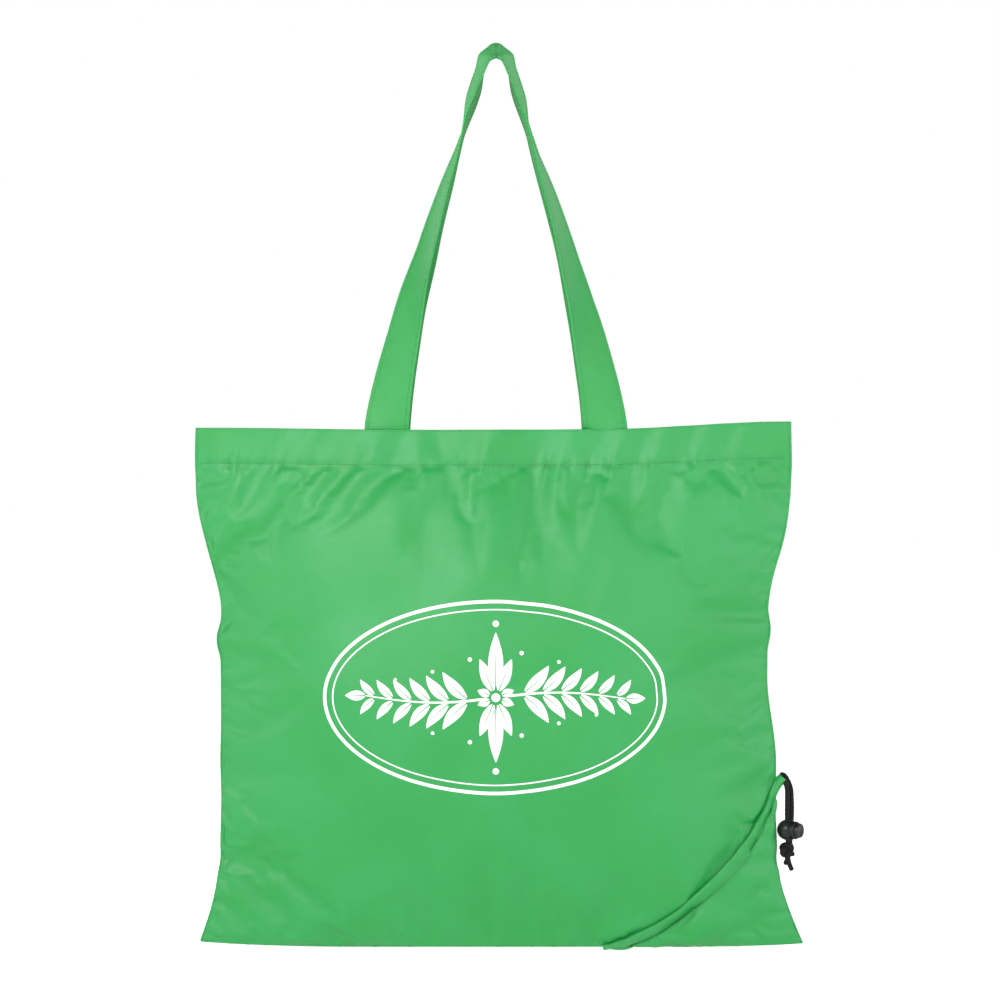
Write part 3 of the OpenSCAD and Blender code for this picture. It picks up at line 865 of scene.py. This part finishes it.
def make_end_tab():
    """The casing's side end: a soft cuff that stands past the bag's edge, its mouth open to the cord."""
    bends = [(191.2, 0, 101.5), (194.4, 0, 109.0), (197.4, 0, 114.8), (200.6, 0, 118.6)]
    path = curve_through(np.array(bends) * MM, 10)
    s = np.linspace(0, 1, len(path))
    t, a, _ = frames_along(path, (0, 1, 0))
    angle = round_angles(28)
    opening = np.sqrt(smooth(-0.25, 0.35, s))
    wide = (2.7 + 0.7 * smooth(0.1, 0.7, s) + 0.12 * np.sin(9 * s)) * MM * opening
    deep = (4.4 + 0.2 * s) * MM * opening

    def ring_at(scale):
        wave = 1 + 0.05 * np.sin(4 * angle + 1)[None, :] * s[:, None]
        return (
            path[:, None]
            + a[:, None] * np.cos(angle)[None, :, None] * (wide[:, None] * wave * scale)[..., None]
            + np.array([0, 1.0, 0]) * np.sin(angle)[None, :, None] * (deep[:, None] * wave * scale)[..., None]
        )

    outer, inner = ring_at(1.0), ring_at(0.80)[::-1]
    lips = [outer[-1:] * (1 - f) + inner[:1] * f + t[-1] * 0.45 * MM * math.sin(math.pi * f) for f in (0.2, 0.5, 0.8)]
    cuff = hollow_ring(np.concatenate([outer, *lips, inner]))
    piece("casing_end_cuff", cuff, ("casing_end_tab",), "bag_lower")


def make_bottom_tab():
    """The casing's closed bottom end: the cloth that joins front and rear below the bag's edge."""
    s = np.linspace(-1, 1, 44)
    x = 86.5 * MM + 9.6 * MM * s
    rise = (1 - np.abs(s) ** 2.4).clip(0)
    rows = []
    for a in round_angles(20):
        depth = (0.5 + 2.0 * rise**0.5) * MM * math.cos(a)
        tall = np.where(math.sin(a) < 0, 2.2 * rise + 0.2, 1.6 * rise + 0.2) * MM * math.sin(a)
        rows.append(np.stack([x, depth, 0.3 * MM + tall], -1))
    piece("casing_bottom_loop", tube(np.stack(rows, 1)), ("casing_bottom_tab",), "bag_lower")


for side_name, skin in SKINS.items():
    make_pouch(side_name, skin)
    make_casing(side_name, skin)
make_casing_thread()
make_end_tab()
make_bottom_tab()


# ---- cord, knot and lock
def braid(path, radius, up=(0, 1, 0), sides=20):
    """A round cord with a braided surface: two crossed sets of raised yarns."""
    path = np.asarray(path, float)
    run = run_along(path)
    fine = np.arange(0, run[-1], 0.22 * MM)
    path = relaxed(sampled(path, run, fine), 2)
    _, a, b = frames_along(path, up)
    angle = round_angles(sides)
    lay = 2 * math.pi / (3.0 * MM) * fine[:, None]
    lift = 0.10 * MM * np.maximum(np.cos(4 * angle + lay), np.cos(4 * angle - lay))
    ends = np.minimum(fine, fine[-1] - fine)[:, None]
    close = np.sqrt(np.clip(ends / (0.9 * MM), 0.08, 1))
    r = (radius - 0.08 * MM + lift) * close
    return tube(path[:, None] + hoops(a, b, angle) * r[..., None])


# The two loose strands' bends, in mm: from the cuff over and down to their tails.
STRANDS = (
    [
        (199.2, -1.7, 115.0), (201.6, -1.8, 116.6), (203.5, -1.7, 111.0), (203.7, -1.2, 102.0), (203.7, -1.0, 92.0),
        (204.2, -1.0, 82.0), (204.2, -0.8, 74.0), (204.0, -0.6, 66.0), (204.6, -1.4, 60.5), (205.8, -1.2, 56.8),
        (207.2, -1.0, 53.6),
    ],
    [
        (198.6, 2.0, 120.8), (202.4, 2.0, 119.6), (206.2, 1.8, 112.0), (207.0, 1.2, 102.0), (207.0, 1.0, 92.0),
        (206.2, 1.0, 82.0), (205.9, 0.9, 74.0), (205.4, 0.7, 66.0), (203.6, 1.0, 60.6), (202.4, 0.6, 57.2),
    ],
)
KNOT_CENTER = (204.4, 0, 68.0)
INNER_CORD_R = 0.85 * MM


def make_cords():
    parts = [braid(curve_through(np.array(bends) * MM, 24), CORD_R) for bends in STRANDS]
    piece("drawcord_strands", merge(parts), ("cord_strands",), "drawcord")


def make_knot():
    a = np.linspace(0.3, 2 * math.pi - 0.25, 260)
    r = 3.0 + 1.35 * np.cos(3 * a)
    path = np.stack([r * np.cos(2 * a) * 1.2, 2.3 * np.sin(3 * a), r * np.sin(2 * a) * 0.9], -1) * MM
    path = path + np.array(KNOT_CENTER) * MM
    piece("drawcord_knot", braid(path, CORD_R * 1.12, (0.05, 1, 0.08)), ("cord_knot",), "drawcord")


def make_inner_cord():
    """The cord inside each casing, out to the cuff."""
    parts = []
    v = np.linspace(0.02, 0.93, 60)
    for skin in SKINS.values():
        line = casing_center(skin, v, 1.35 * MM)
        start = np.array([(199.0, skin.side * 1.6, 115.6), (194.0, skin.side * 2.2, 112.4)]) * MM
        parts.append(braid(np.concatenate([start, line]), INNER_CORD_R, sides=10))
    piece("drawcord_inside_casing", merge(parts), ("pouch_cord",), "bag_lower")


def lathe(profile, sides=72):
    """A turned shape about +X from (position along, radius) pairs, open ends closed at the axis."""
    angle = round_angles(sides)
    rings = [np.stack([np.full(sides, along), r * np.cos(angle), r * np.sin(angle)], -1) for along, r in profile]
    return tube(rings)


def on_lock_axis(points):
    c, s = math.cos(LOCK_TURN), math.sin(LOCK_TURN)
    x = points[:, 0] - 1.6 * MM
    out = np.stack([x * c + points[:, 1] * s, -x * s + points[:, 1] * c, points[:, 2]], -1)
    return out + np.array([STRAND_X, 0, LOCK_Z])


def rounded(profile, steps=5):
    """Rounds the corners of a turned profile a little."""
    p = np.array(profile, float)
    out = [p[0]]
    for i in range(1, len(p) - 1):
        a, b, c = p[i - 1], p[i], p[i + 1]
        cut = min(np.linalg.norm(b - a), np.linalg.norm(c - b), 0.7) * 0.45
        start, end = b + unit(a - b) * cut, b + unit(c - b) * cut
        for t in np.linspace(0, 1, steps):
            out.append((1 - t) ** 2 * start + 2 * t * (1 - t) * b + t * t * end)
    out.append(p[-1])
    return np.array(out) * MM


def make_lock():
    """The ball-shaped lock body with a flat collar ring, and cord eyelets above and below."""
    ball = [(-7.2 * math.cos(t), 7.2 * math.sin(t)) for t in np.linspace(0.02, 2.05, 40)]
    collar = [(3.5, 6.05), (3.8, 5.85), (4.2, 5.85), (4.4, 6.25), (7.3, 6.25), (7.8, 5.85), (7.8, 5.45), (6.9, 5.4)]
    shell = np.concatenate([np.array(ball) * MM, rounded([ball[-1]] + collar)])
    shell = np.concatenate([shell, np.array([(-3.6, 5.4), (-3.6, 2.6), (-6.1, 2.6), (-6.1, 0.01)]) * MM])
    points, faces = lathe(shell)
    parts = [(on_lock_axis(points), faces)]
    angle = round_angles(48)
    for up in (1, -1):
        rings = []
        for a in round_angles(10):
            rx, ry = (2.0 + 0.5 * math.cos(a)) * MM, (3.1 + 0.5 * math.cos(a)) * MM
            z = np.full(48, up * (6.55 + 0.5 * math.sin(a) * up) * MM)
            rings.append(np.stack([1.6 * MM + rx * np.cos(angle), ry * np.sin(angle), z], -1))
        points, faces = hollow_ring(rings)
        parts.append((on_lock_axis(points), faces))
    piece("lock_body", merge(parts), ("cord_lock_body",), "cord_lock")


def make_button():
    """The push button: a short post with a rounded rim and a shallow dish in its face."""
    profile = [(-3.0, 0.01), (-3.0, 0.9), (-1.0, 0.9), (-1.0, 5.2), (9.6, 5.25), (10.7, 4.9), (11.0, 4.1)]
    profile += [(10.85, 3.2), (10.6, 1.6), (10.55, 0.01)]
    points, faces = lathe(rounded(profile))
    uvs = cloth_uv(points)
    piece("lock_button", (on_lock_axis(points), faces), ("cord_lock_button",), "lock_button", uvs)


make_cords()
make_knot()
make_inner_cord()
make_lock()
make_button()


# ---- printed motif: a leaf sprig in an oval, no lettering
PRINT_CENTER = (0.0, 178 * MM)
PRINT_HALF = (116 * MM, 65 * MM)


def print_patch(x, z):
    """A closed film of ink laid on the front from two equal grids of coordinates about the motif's centre."""
    skin = SKINS["front"]
    px, pz = x + PRINT_CENTER[0], z + PRINT_CENTER[1]
    outer, inner = (skin.at_xz(px, pz, out * MM) for out in (0.24, 0.06))
    turn = (px[0, 1] - px[0, 0]) * (pz[1, 0] - pz[0, 0]) - (pz[0, 1] - pz[0, 0]) * (px[1, 0] - px[0, 0])
    return plate(outer, inner, bool(turn < 0))


def oval_ring(grow, width, count=520):
    a = np.linspace(0, 2 * math.pi, count + 1)[None, :]
    r = np.linspace(-0.5, 0.5, 4)[:, None] * width
    x = (PRINT_HALF[0] + grow + r) * np.cos(a)
    z = (PRINT_HALF[1] + grow + r) * np.sin(a)
    return [print_patch(x, z)]


def leaf(base, angle, length, width, bend=0.25):
    """Two half leaves with a fine gap between them for the midrib."""
    t = np.linspace(0.02, 1, 26)[None, :]
    out = []
    turn = angle + bend * (t - 0.5)
    along = np.cumsum(np.cos(turn) * length / 26, axis=1), np.cumsum(np.sin(turn) * length / 26, axis=1)
    half = width * np.sin(np.pi * t**0.85) ** 0.9 + 0.1 * MM
    for sign in (-1, 1):
        w = np.linspace(0, 1, 7)[:, None]
        off = sign * (0.35 * MM * (1 - t) + w * half)
        x = base[0] + along[0] - np.sin(turn) * off
        z = base[1] + along[1] + np.cos(turn) * off
        out.append(print_patch(x, z))
    return out


def stem(points, width_a, width_b):
    p = np.array(points)
    normal = unit(np.stack([-np.gradient(p[:, 1]), np.gradient(p[:, 0])], -1))
    width = np.linspace(width_a, width_b, len(p))[None, :]
    w = np.linspace(-0.5, 0.5, 3)[:, None] * width
    return [print_patch(p[None, :, 0] + normal[None, :, 0] * w, p[None, :, 1] + normal[None, :, 1] * w)]


def disc(center, radius):
    a = np.linspace(0, 2 * math.pi, 33)[None, :]
    r = np.linspace(0.02, 1, 6)[:, None] * radius
    return [print_patch(center[0] + r * np.cos(a), center[1] + r * np.sin(a))]


def sprig_height(x):
    """The stem's gentle arch, out from the middle of the oval."""
    s = x / (92 * MM)
    return (4.2 * np.sin(np.pi * s) - 1.8 * s) * MM


def branch(side):
    """One half of the sprig: a stem with pairs of leaves that shrink towards its tip."""
    x = np.linspace(9 * MM, 88 * MM, 90)
    parts = stem(np.stack([side * x, side * sprig_height(x)], -1), 1.8 * MM, 0.8 * MM)
    for k in range(6):
        at = (19 + 12.6 * k) * MM
        size = 1 - 0.085 * k
        for up in (-1, 1):
            lean = math.radians(47) * up
            base = side * at, side * sprig_height(at) + up * 1.3 * MM
            parts += leaf(base, lean if side > 0 else math.pi - lean, 25 * size * MM, 3.9 * size * MM, 0.5 * up * side)
            if k in (0, 2, 4):
                dot = side * (at - 1.5 * MM), side * sprig_height(at) + up * (28 - 3.6 * k) * MM
                parts += disc(dot, 1.5 * MM * size)
    tip = side * 88 * MM, side * sprig_height(88 * MM)
    return parts + leaf(tip, 0.0 if side > 0 else math.pi, 14 * MM, 3.2 * MM, 0)


def make_print():
    parts = oval_ring(0, 2.4 * MM) + oval_ring(-5.5 * MM, 1.0 * MM)
    parts += branch(-1) + branch(1)
    for k in range(8):
        angle = math.pi / 8 + k * math.pi / 4
        start = 4.2 * MM * math.cos(angle), 4.2 * MM * math.sin(angle)
        steep = k in (1, 2, 5, 6)
        parts += leaf(start, angle, (24 if steep else 9) * MM, (3.9 if steep else 2.6) * MM, 0)
    parts += disc((0, 0), 3.0 * MM)
    for up in (-1, 1):
        parts += leaf((0, up * 6 * MM), up * math.pi / 2, 38 * MM, 4.8 * MM, 0)
        parts += disc((0, up * 50 * MM), 2.2 * MM)
    piece("front_print", merge(parts), (), FOLD, smooth_shade=False)


make_print()


# ---- materials
def fill(node, inputs):
    """Fills a node's sockets, each with another node's output or a plain value."""
    for key, value in inputs.items():
        socket = node.inputs[key]
        if isinstance(value, bpy.types.NodeSocket):
            socket.id_data.links.new(value, socket)
        else:
            socket.default_value = value
    return node


class Graph:
    """A short way to wire the nodes of a material or a world."""

    def __init__(self, owner, coordinates="UV"):
        owner.use_nodes = True
        self.owner, self.tree = owner, owner.node_tree
        self.shader = self.tree.nodes.get("Principled BSDF") or self.tree.nodes["Background"]
        self.coordinates = self.node("ShaderNodeTexCoord").outputs[coordinates]

    def finish(self, surface):
        kind = "World Output" if isinstance(self.owner, bpy.types.World) else "Material Output"
        fill(self.tree.nodes[kind], {"Surface": surface})

    def node(self, kind, inputs=None, **values):
        n = self.tree.nodes.new(kind)
        for key, value in values.items():
            setattr(n, key, value)
        return fill(n, inputs or {})

    def look(self, tone, rough, raised=None, specular=0.5, sheen=0.0, **more):
        """Fills the shader's sockets and gives back the finished material."""
        inputs = {"Base Color": tone, "Roughness": rough, "Specular IOR Level": specular, "Sheen Weight": sheen}
        fill(self.shader, inputs | ({"Normal": raised} if raised else {}) | more)
        return self.owner

    def math(self, operation, a, b):
        return self.node("ShaderNodeMath", {0: a, 1: b}, operation=operation).outputs[0]

    def marked(self, kind):
        return self.node("ShaderNodeAttribute", attribute_name=kind).outputs["Fac"]

    def noise(self, scale, detail=3.0, rough=0.55):
        inputs = {"Scale": scale, "Detail": detail, "Roughness": rough, "Vector": self.coordinates}
        return self.node("ShaderNodeTexNoise", inputs).outputs["Fac"]

    def bands(self, period, axis, distortion):
        scale = math.pi / (10 * period)
        inputs = {"Scale": scale, "Distortion": distortion, "Detail": 1.0, "Vector": self.coordinates}
        kind = {"wave_type": "BANDS", "bands_direction": axis, "wave_profile": "SIN"}
        return self.node("ShaderNodeTexWave", inputs, **kind).outputs["Fac"]

    def remap(self, value, low, high, from_low=0.0, from_high=1.0):
        inputs = {"Value": value, "From Min": from_low, "From Max": from_high, "To Min": low, "To Max": high}
        return self.node("ShaderNodeMapRange", inputs).outputs["Result"]

    def mix(self, factor, a, b):
        return self.node("ShaderNodeMix", {"Factor": factor, "A": a, "B": b}, data_type="RGBA").outputs["Result"]

    def bump(self, height, distance, strength, below=None):
        inputs = {"Strength": strength, "Distance": distance, "Height": height}
        if below is not None:
            inputs["Normal"] = below
        return self.node("ShaderNodeBump", inputs).outputs["Normal"]


def new_material(name, coordinates="UV"):
    return Graph(bpy.data.materials.new(name), coordinates)


def rgba(r, g, b):
    """Linear colour from 0-255 display values."""
    out = []
    for c in (r, g, b):
        c = c / 255
        out.append(c / 12.92 if c <= 0.04045 else ((c + 0.055) / 1.055) ** 2.4)
    return tuple(out) + (1.0,)


def weave_height(g, period):
    """A plain weave: yarns that pass over and under each other by turns."""
    across = g.math("SUBTRACT", g.bands(period, "X", 0.4), 0.5)
    up = g.math("SUBTRACT", g.bands(period, "Y", 0.4), 0.5)
    crossing = g.math("MULTIPLY", across, up)
    return g.remap(crossing, 0, 1, -0.25, 0.25)


# The deep green painted into creases, folds and valleys as shade.
PAINTED_SHADE_GREEN = rgba(8, 142, 56)
WEAVE = 0.46 * MM


def cloth_material(name, light, mid, deep, period, crinkle, gloss):
    g = new_material(name)
    weave = weave_height(g, period)
    cloudy = g.noise(16, 3, 0.5)
    slub = g.noise(900, 2, 0.7)
    fine = g.noise(140, 4, 0.6)
    tone = g.mix(g.remap(cloudy, 0, 1, 0.35, 0.65), mid, light)
    tone = g.mix(g.remap(fine, 0.0, 0.22, 0.3, 0.8), tone, deep)
    tone = g.mix(g.remap(g.math("ADD", weave, g.math("MULTIPLY", slub, 0.6)), 0.16, 0.0, 0.2, 1.3), tone, deep)
    # Painted shade: darkens the cloth toward a deep green wherever a piece marks creases, folds and valleys.
    tone = g.mix(g.math("MULTIPLY", g.marked("fold_depth"), 0.9), tone, PAINTED_SHADE_GREEN)
    raised = g.bump(weave, 0.05 * MM, 0.55, g.bump(fine, crinkle, 0.55))
    # Painted glow: marked cloth gives off light in its own mid green.
    lit = g.math("MULTIPLY", g.marked("lit_through"), PAINTED_GLOW_STRENGTH)
    more = {"Sheen Roughness": 0.4, "Emission Color": mid, "Emission Strength": lit}
    g.look(tone, g.remap(fine, gloss, gloss + 0.12), raised, 0.8, 0.06, **more)
    behind = g.node("ShaderNodeBsdfTranslucent", {"Color": mid}).outputs["BSDF"]
    both = g.node("ShaderNodeMixShader", {"Fac": TRANSLUCENCY, 1: g.shader.outputs["BSDF"], 2: behind})
    g.finish(both.outputs["Shader"])
    return g.owner


def thread_material():
    g = new_material("sewing_thread")
    twist = g.bands(0.35 * MM, "DIAGONAL", 1.5)
    tone = g.mix(g.remap(twist, 0.0, 0.5), rgba(44, 150, 74), rgba(28, 118, 52))
    tone = g.mix(g.remap(g.noise(600), 0, 0.35, 0.35, 0.7), tone, rgba(72, 168, 94))
    return g.look(tone, g.remap(twist, 0.5, 0.68), g.bump(twist, 0.06 * MM, 0.7), sheen=0.12)


def cord_material():
    g = new_material("braided_cord")
    yarn = g.bands(0.42 * MM, "DIAGONAL", 2.5)
    tone = g.mix(g.remap(yarn, 0.15, 0.85), rgba(5, 4, 5), rgba(15, 13, 15))
    tone = g.mix(g.remap(g.noise(240, 4), 0, 0.5, 0.45, 0.75), tone, rgba(22, 19, 21))
    return g.look(tone, g.remap(g.noise(500), 0.6, 0.85), g.bump(yarn, 0.09 * MM, 0.7), 0.3, 0.06)


def plastic_material():
    g = new_material("moulded_plastic")
    grain = g.noise(2600, 2, 0.6)
    scuff = g.noise(90, 5, 0.6)
    tone = g.mix(g.remap(scuff, 0, 1, 0.45, 0.8), rgba(15, 16, 17), rgba(30, 31, 33))
    worn = g.math("ADD", g.math("MULTIPLY", grain, 0.4), scuff)
    return g.look(tone, g.remap(worn, 0.3, 0.52, 0.4, 1.1), g.bump(grain, 0.03 * MM, 0.45))


def ink_material():
    g = new_material("printed_ink")
    weave = weave_height(g, WEAVE)
    worn = g.noise(420, 5, 0.7)
    tone = g.mix(g.remap(worn, 0.0, 0.5, 0.56, 0.78), (0.93, 0.94, 0.93, 1), (0.78, 0.86, 0.79, 1))
    return g.look(tone, g.remap(worn, 0.42, 0.6), g.bump(weave, 0.03 * MM, 0.4), 0.3)


def wire_material():
    g = new_material("bright_wire", "Object")
    drawn = g.noise(3000, 3, 0.6)
    tone = g.mix(drawn, (0.5, 0.51, 0.53, 1), (0.72, 0.73, 0.75, 1))
    return g.look(tone, g.remap(drawn, 0.25, 0.42), Metallic=1.0)


# Strength of the painted glow on marked cloth.
PAINTED_GLOW_STRENGTH = 0.15
TRANSLUCENCY = 0.12
FABRIC_GREENS = rgba(38, 170, 84), rgba(24, 165, 72), rgba(14, 150, 60)
STRAP_GREENS = rgba(44, 172, 84), rgba(30, 166, 70), rgba(20, 148, 56)
FABRIC_LOOK = cloth_material("woven_polyester", *FABRIC_GREENS, WEAVE, 0.22 * MM, 0.40)
STRAP_LOOK = cloth_material("strap_polyester", *STRAP_GREENS, 0.52 * MM, 0.3 * MM, 0.46)
THREAD, CORD, PLASTIC = thread_material(), cord_material(), plastic_material()
INK, WIRE = ink_material(), wire_material()
# What a piece's name has in it, and its look; the first that fits counts.
LOOKS = (
    ("front_print", INK),
    ("stitch", THREAD),
    ("drawcord", CORD),
    ("lock_", PLASTIC),
    ("_strap", STRAP_LOOK),
    ("", FABRIC_LOOK),
)


def look_for(name):
    return WIRE if name in frame["nodes"] else next(look for part, look in LOOKS if part in name)


for obj in bpy.context.scene.objects:
    if obj.type == "MESH":
        obj.data.materials.clear()
        obj.data.materials.append(look_for(obj.name))


# ---- floor, light and camera
WHITE = (1, 1, 1, 1)
WORLD_LIGHT = 0.31
FLOOR_GLOW_SEEN = 0.74
FLOOR_GLOW = 0.28
FLOOR_SIZE = 14.0
FLOOR_Z = -3.2 * MM
CAMERA_AT = (2.8 * MM, -1.944, 312.9 * MM)
# Name, place, the point it faces, its two sides and its power in watts.
LIGHTS = (
    ("key", (-0.75, -1.95, 1.25), (0, 0, 0.25), (0.6, 0.7), 26),
    ("fill", (1.15, -1.9, 0.9), (0, 0, 0.25), (0.7, 0.8), 10),
    ("left_side", (-2.1, -0.7, 0.8), (0, 0, 0.35), (1.0, 1.2), 12),
    ("right_side", (2.1, -0.7, 0.8), (0, 0, 0.35), (1.0, 1.2), 12),
    ("rear_left", (-1.5, 1.7, 1.1), (0, 0, 0.3), (1.0, 1.2), 6),
    ("rear_right", (1.5, 1.7, 1.3), (0, 0, 0.3), (1.0, 1.2), 6),
)


def floor_material():
    g = new_material("studio_floor")
    tone = g.mix(g.noise(3.0, 2), (0.95, 0.95, 0.95, 1), (0.97, 0.97, 0.97, 1))
    seen = g.node("ShaderNodeLightPath").outputs["Is Camera Ray"]
    more = {"Emission Color": WHITE, "Emission Strength": g.remap(seen, FLOOR_GLOW, FLOOR_GLOW_SEEN)}
    return g.look(tone, 0.7, specular=0.1, **more)


def make_floor():
    square = np.array([(0, 0), (1, 0), (1, 1), (0, 1)])
    points = [(*corner, FLOOR_Z) for corner in (square * 2 - 1) * FLOOR_SIZE]
    floor = new_mesh("studio_floor", points, [(0, 1, 2, 3)], square, False)
    floor.data.materials.append(floor_material())
    floor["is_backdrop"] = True


def area_light(name, location, target, size, power):
    data = bpy.data.lights.new(name, "AREA")
    data.shape = "RECTANGLE"
    data.size, data.size_y = size
    data.energy = power
    lamp = bpy.data.objects.new(name, data)
    lamp.location = location
    direction = Vector(target) - Vector(location)
    lamp.rotation_euler = direction.to_track_quat("-Z", "Y").to_euler()
    bpy.context.scene.collection.objects.link(lamp)


def make_world():
    """White behind the bag, and a dimmer white round it that lights it evenly."""
    world = bpy.data.worlds.new("studio")
    g = Graph(world)
    glow = fill(g.shader, {"Color": WHITE, "Strength": WORLD_LIGHT}).outputs["Background"]
    backdrop = g.node("ShaderNodeBackground", {"Color": WHITE}).outputs["Background"]
    seen = g.node("ShaderNodeLightPath").outputs["Is Camera Ray"]
    g.finish(g.node("ShaderNodeMixShader", {"Fac": seen, 1: glow, 2: backdrop}).outputs["Shader"])
    bpy.context.scene.world = world


def make_camera():
    data = bpy.data.cameras.new("camera")
    data.lens = 100
    data.sensor_width = 36
    data.clip_end = 60
    camera = bpy.data.objects.new("camera", data)
    camera.location = CAMERA_AT
    camera.rotation_euler = (math.pi / 2, 0, 0)
    bpy.context.scene.collection.objects.link(camera)
    bpy.context.scene.camera = camera


make_floor()
make_world()
for light in LIGHTS:
    area_light(*light)
make_camera()
scene = bpy.context.scene
scene.view_settings.view_transform = "Standard"
scene.view_settings.look = "None"

boxes = {"cad": CAD_BOX, "visual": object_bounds()}
{kind: [list(map(float, corner)) for corner in box] for kind, box in boxes.items()}
